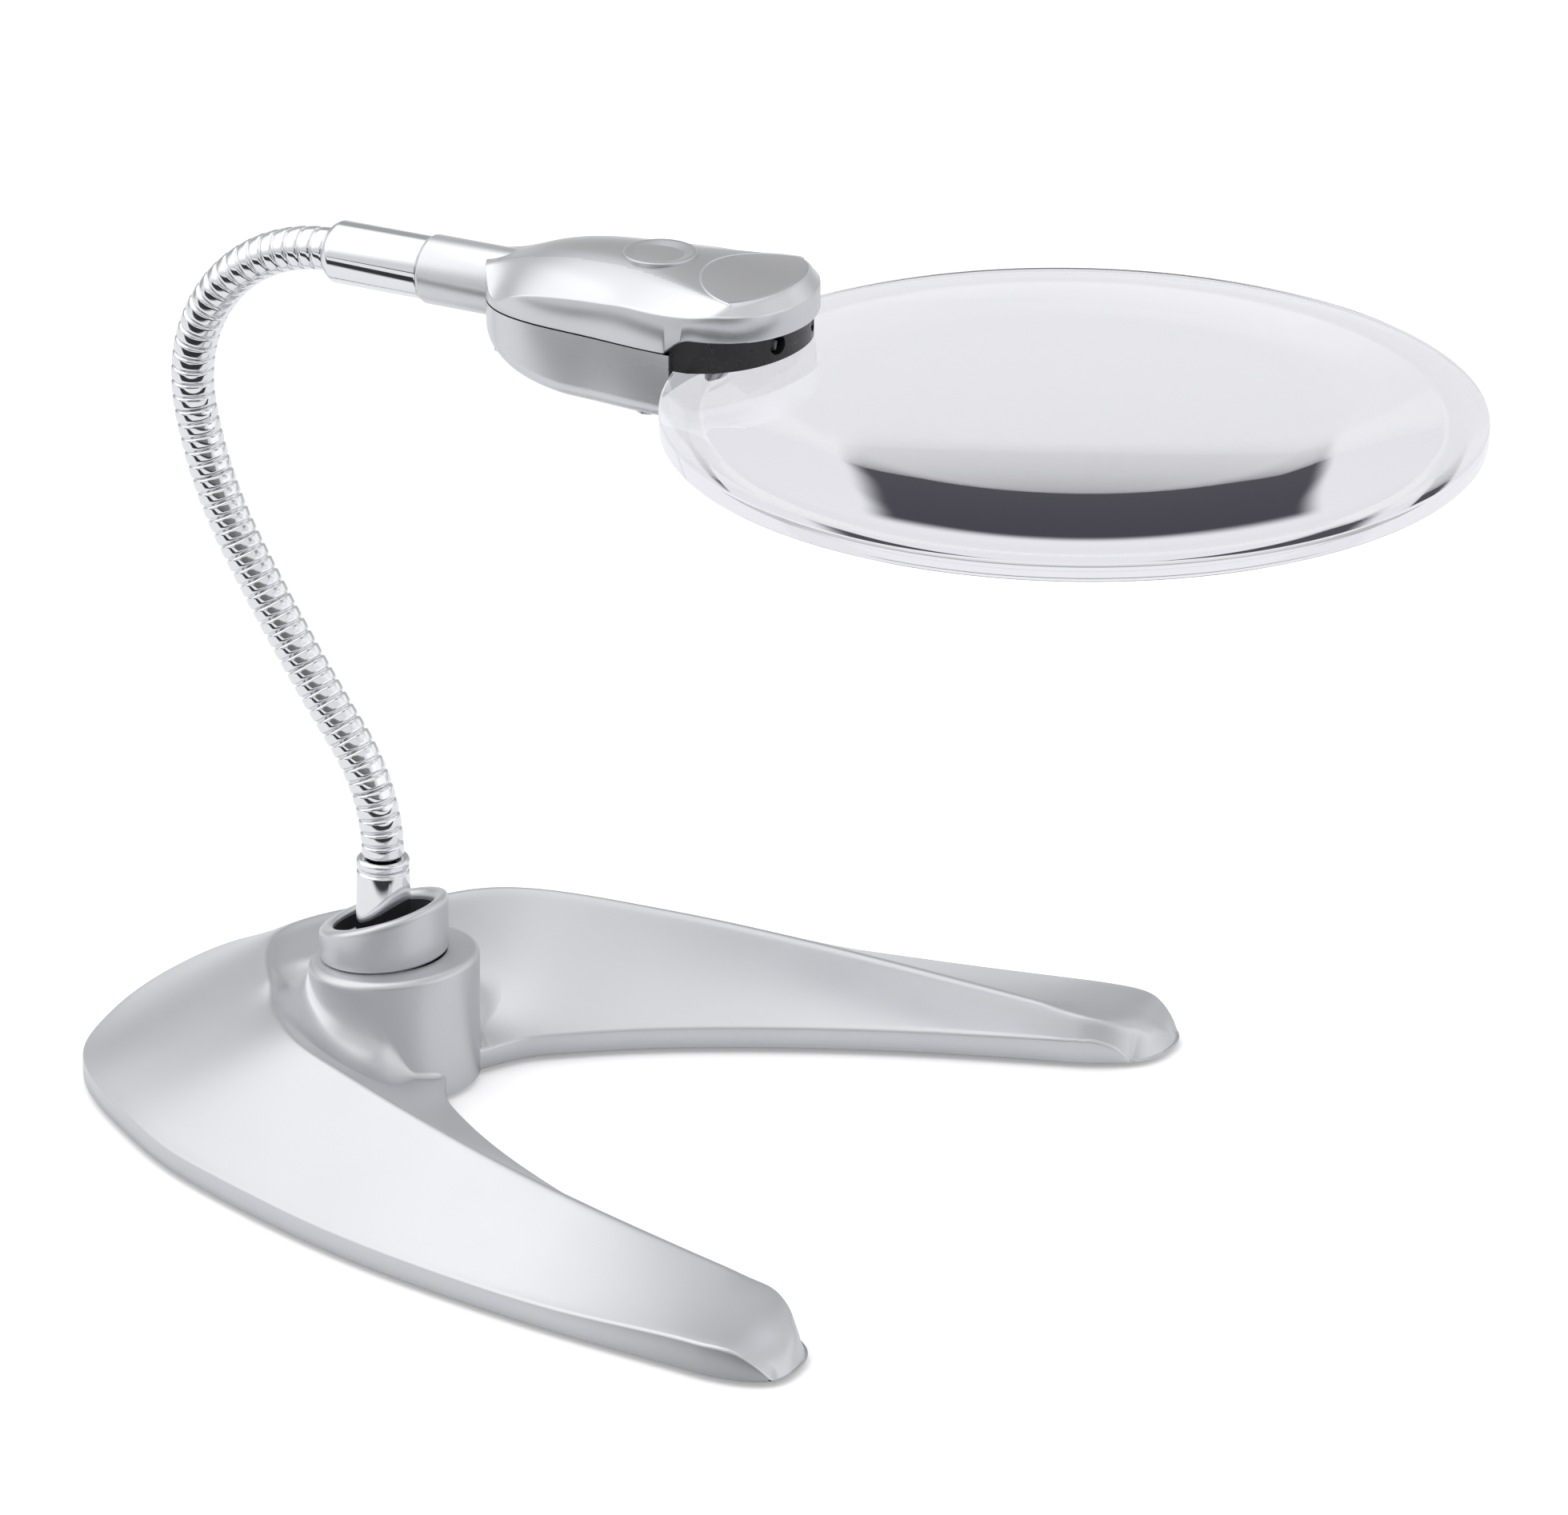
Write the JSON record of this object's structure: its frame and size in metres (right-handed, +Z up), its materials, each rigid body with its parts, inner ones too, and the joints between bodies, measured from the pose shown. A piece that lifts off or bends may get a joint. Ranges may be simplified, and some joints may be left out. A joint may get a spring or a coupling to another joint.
{
  "type": "stand magnifier",
  "caption": "Hands-free stand magnifier: a large round rimless lens on a chrome gooseneck above a satin silver horseshoe base, with a battery lamp and push button in the head.",
  "frame": {"origin": "on the neck's axis where it enters the base, at floor level", "axes": "+X forward between the legs towards the lens, +Y to the left leg, +Z up"},
  "size_m": [0.2387, 0.1548, 0.1548],
  "materials": {
    "base_silver": "satin silver",
    "head_silver": "satin silver",
    "panel_grey": "satin",
    "neck_chrome": "polished",
    "fixing_steel": "plated",
    "weight_steel": "rough",
    "black_plastic": "matte",
    "lens_clear": "polished, clear",
    "foot_rubber": "matte",
    "board_green": "satin",
    "led_clear": "clear",
    "cell_steel": "bright"
  },
  "bodies": {
    "base": {"base_shell": "base_silver", "bottom_plate": "black_plastic", "left_weight": "weight_steel", "right_weight": "weight_steel", "heel_weight": "weight_steel", "rubber_feet": "foot_rubber", "base_screws": "fixing_steel", "neck_collar": "base_silver", "lower_ferrule": "neck_chrome", "neck_stud": "fixing_steel", "neck_nut": "fixing_steel", "neck_washer": "fixing_steel"},
    "neck_01": {"neck_segment_01": "neck_chrome"},
    "neck_02": {"neck_segment_02": "neck_chrome"},
    "neck_03": {"neck_segment_03": "neck_chrome"},
    "neck_04": {"neck_segment_04": "neck_chrome"},
    "neck_05": {"neck_segment_05": "neck_chrome"},
    "neck_06": {"neck_segment_06": "neck_chrome"},
    "neck_07": {"neck_segment_07": "neck_chrome"},
    "neck_08": {"neck_segment_08": "neck_chrome"},
    "neck_09": {"neck_segment_09": "neck_chrome"},
    "neck_10": {"neck_segment_10": "neck_chrome"},
    "neck_11": {"neck_segment_11": "neck_chrome"},
    "head": {"upper_ferrule": "neck_chrome", "head_tube": "head_silver", "upper_shell": "head_silver", "lower_shell": "head_silver", "top_panel": "panel_grey", "circuit_board": "board_green", "button_dome": "foot_rubber", "coin_cells": "cell_steel", "cell_contact": "fixing_steel", "lamp_bar": "black_plastic", "white_leds": "led_clear", "lens": "lens_clear", "lens_screws": "fixing_steel", "shell_screws": "fixing_steel"},
    "button": {"push_button": "head_silver"},
    "cap": {"battery_cap": "head_silver"}
  },
  "joints": [
    {"name": "neck_bend_01", "type": "hinge", "parent": "base", "child": "neck_01", "pos_m": [0, 0, 0.0394], "axis": [0, 1, 0], "range_deg": [-8, 4]},
    {"name": "neck_sway_02", "type": "hinge", "parent": "neck_01", "child": "neck_02", "pos_m": [-0.00201, 0, 0.05093], "axis": [0.9409, 0, 0.3386], "range_deg": [-6, 6]},
    {"name": "neck_bend_03", "type": "hinge", "parent": "neck_02", "child": "neck_03", "pos_m": [-0.00775, 0, 0.06114], "axis": [0, 1, 0], "range_deg": [-8, 4]},
    {"name": "neck_sway_04", "type": "hinge", "parent": "neck_03", "child": "neck_04", "pos_m": [-0.01444, 0, 0.07082], "axis": [0.8321, 0, 0.5546], "range_deg": [-6, 6]},
    {"name": "neck_bend_05", "type": "hinge", "parent": "neck_04", "child": "neck_05", "pos_m": [-0.0208, 0, 0.08072], "axis": [0, 1, 0], "range_deg": [-8, 4]},
    {"name": "neck_sway_06", "type": "hinge", "parent": "neck_05", "child": "neck_06", "pos_m": [-0.0268, 0, 0.09083], "axis": [0.8758, 0, 0.4828], "range_deg": [-6, 6]},
    {"name": "neck_bend_07", "type": "hinge", "parent": "neck_06", "child": "neck_07", "pos_m": [-0.03161, 0, 0.10155], "axis": [0, 1, 0], "range_deg": [-8, 5]},
    {"name": "neck_sway_08", "type": "hinge", "parent": "neck_07", "child": "neck_08", "pos_m": [-0.0346, 0, 0.11292], "axis": [0.9847, 0, 0.1744], "range_deg": [-6, 6]},
    {"name": "neck_bend_09", "type": "hinge", "parent": "neck_08", "child": "neck_09", "pos_m": [-0.03411, 0, 0.12458], "axis": [0, 1, 0], "range_deg": [-8, 5]},
    {"name": "neck_sway_10", "type": "hinge", "parent": "neck_09", "child": "neck_10", "pos_m": [-0.02874, 0, 0.13494], "axis": [0.7667, 0, -0.642], "range_deg": [-6, 6]},
    {"name": "neck_bend_11", "type": "hinge", "parent": "neck_10", "child": "neck_11", "pos_m": [-0.01948, 0, 0.14205], "axis": [0, 1, 0], "range_deg": [-8, 5]},
    {"name": "neck_sway_12", "type": "hinge", "parent": "neck_11", "child": "head", "pos_m": [-0.00809, 0, 0.14458], "axis": [0, 0, -1], "range_deg": [-6, 6]},
    {"name": "button_press", "type": "slide", "parent": "head", "child": "button", "axis": [0, 0, -1], "range_m": [0, 0.001], "stiffness_N_per_m": 1500, "springref_m": -0.0005, "deforming": ["button_dome"]},
    {"name": "cap_turn", "type": "hinge", "parent": "head", "child": "cap", "pos_m": [0.04711, 0, 0.13358], "axis": [0, 0, 1], "range_deg": [0, 60]}
  ],
  "couplings": [
    {"joint": "neck_bend_03", "follows": "neck_bend_01", "ratio": 1},
    {"joint": "neck_bend_05", "follows": "neck_bend_01", "ratio": 1},
    {"joint": "neck_sway_04", "follows": "neck_sway_02", "ratio": 1},
    {"joint": "neck_sway_06", "follows": "neck_sway_02", "ratio": 1},
    {"joint": "neck_bend_09", "follows": "neck_bend_07", "ratio": 1},
    {"joint": "neck_bend_11", "follows": "neck_bend_07", "ratio": 1},
    {"joint": "neck_sway_10", "follows": "neck_sway_08", "ratio": 1},
    {"joint": "neck_sway_12", "follows": "neck_sway_08", "ratio": 1}
  ]
}
